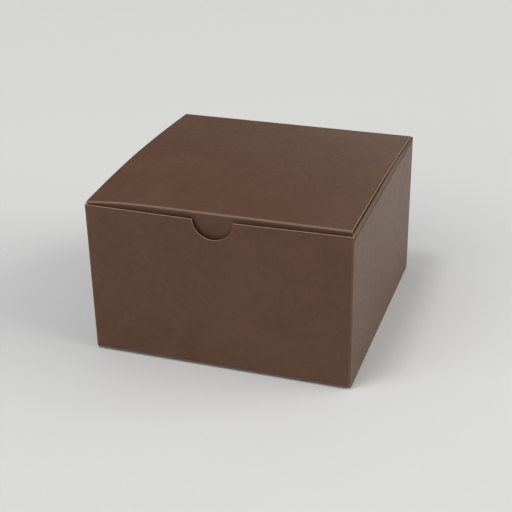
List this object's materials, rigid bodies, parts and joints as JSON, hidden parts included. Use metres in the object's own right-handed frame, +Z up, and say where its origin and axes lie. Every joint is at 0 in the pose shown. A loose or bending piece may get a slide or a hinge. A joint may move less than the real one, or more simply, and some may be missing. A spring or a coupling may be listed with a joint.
{
  "type": "tuck top box",
  "caption": "Square folding carton in thin brown board: hinged lid with a tuck flap behind a thumb notch, sprung dust flaps and a self locking bottom.",
  "frame": {"origin": "middle of the box in plan, on the surface that it stands on", "axes": "+X to the right of the notched front, +Y from the front to the hinged back, +Z up"},
  "size_m": [0.1282, 0.1282, 0.0804],
  "materials": {
    "printed_board": "matte brown print on thin solid paperboard, faint grain",
    "kraft_board": "bare kraft paperboard"
  },
  "bodies": {
    "sleeve": {"front_wall": "printed_board", "right_wall": "printed_board", "back_wall": "printed_board", "left_wall": "printed_board", "seam_tab": "kraft_board", "bottom_front_flap": "printed_board", "bottom_back_flap": "printed_board", "bottom_left_flap": "printed_board", "bottom_right_flap": "printed_board", "glue_lug_left": "kraft_board", "glue_lug_right": "kraft_board"},
    "lid": {"lid_panel": "printed_board"},
    "tuck": {"tuck_flap": "printed_board"},
    "dust_left": {"dust_flap_left": "printed_board"},
    "dust_right": {"dust_flap_right": "printed_board"}
  },
  "joints": [
    {"name": "lid_hinge", "type": "hinge", "parent": "sleeve", "child": "lid", "pos_m": [0, 0.0638, 0.0774], "axis": [-1, 0, 0], "range_deg": [0, 180]},
    {"name": "tuck_crease", "type": "hinge", "parent": "lid", "child": "tuck", "pos_m": [0, -0.0621, 0.0795], "axis": [-1, 0, 0], "range_deg": [0, 36]},
    {"name": "dust_left_crease", "type": "hinge", "parent": "sleeve", "child": "dust_left", "pos_m": [-0.0638, 0, 0.0768], "axis": [0, -1, 0], "range_deg": [0, 90]},
    {"name": "dust_right_crease", "type": "hinge", "parent": "sleeve", "child": "dust_right", "pos_m": [0.0638, 0, 0.0768], "axis": [0, 1, 0], "range_deg": [0, 90]}
  ],
  "couplings": [
    {"joint": "tuck_crease", "follows": "lid_hinge", "ratio": 0.2},
    {"joint": "dust_left_crease", "follows": "lid_hinge", "ratio": 0.5},
    {"joint": "dust_right_crease", "follows": "lid_hinge", "ratio": 0.5}
  ]
}
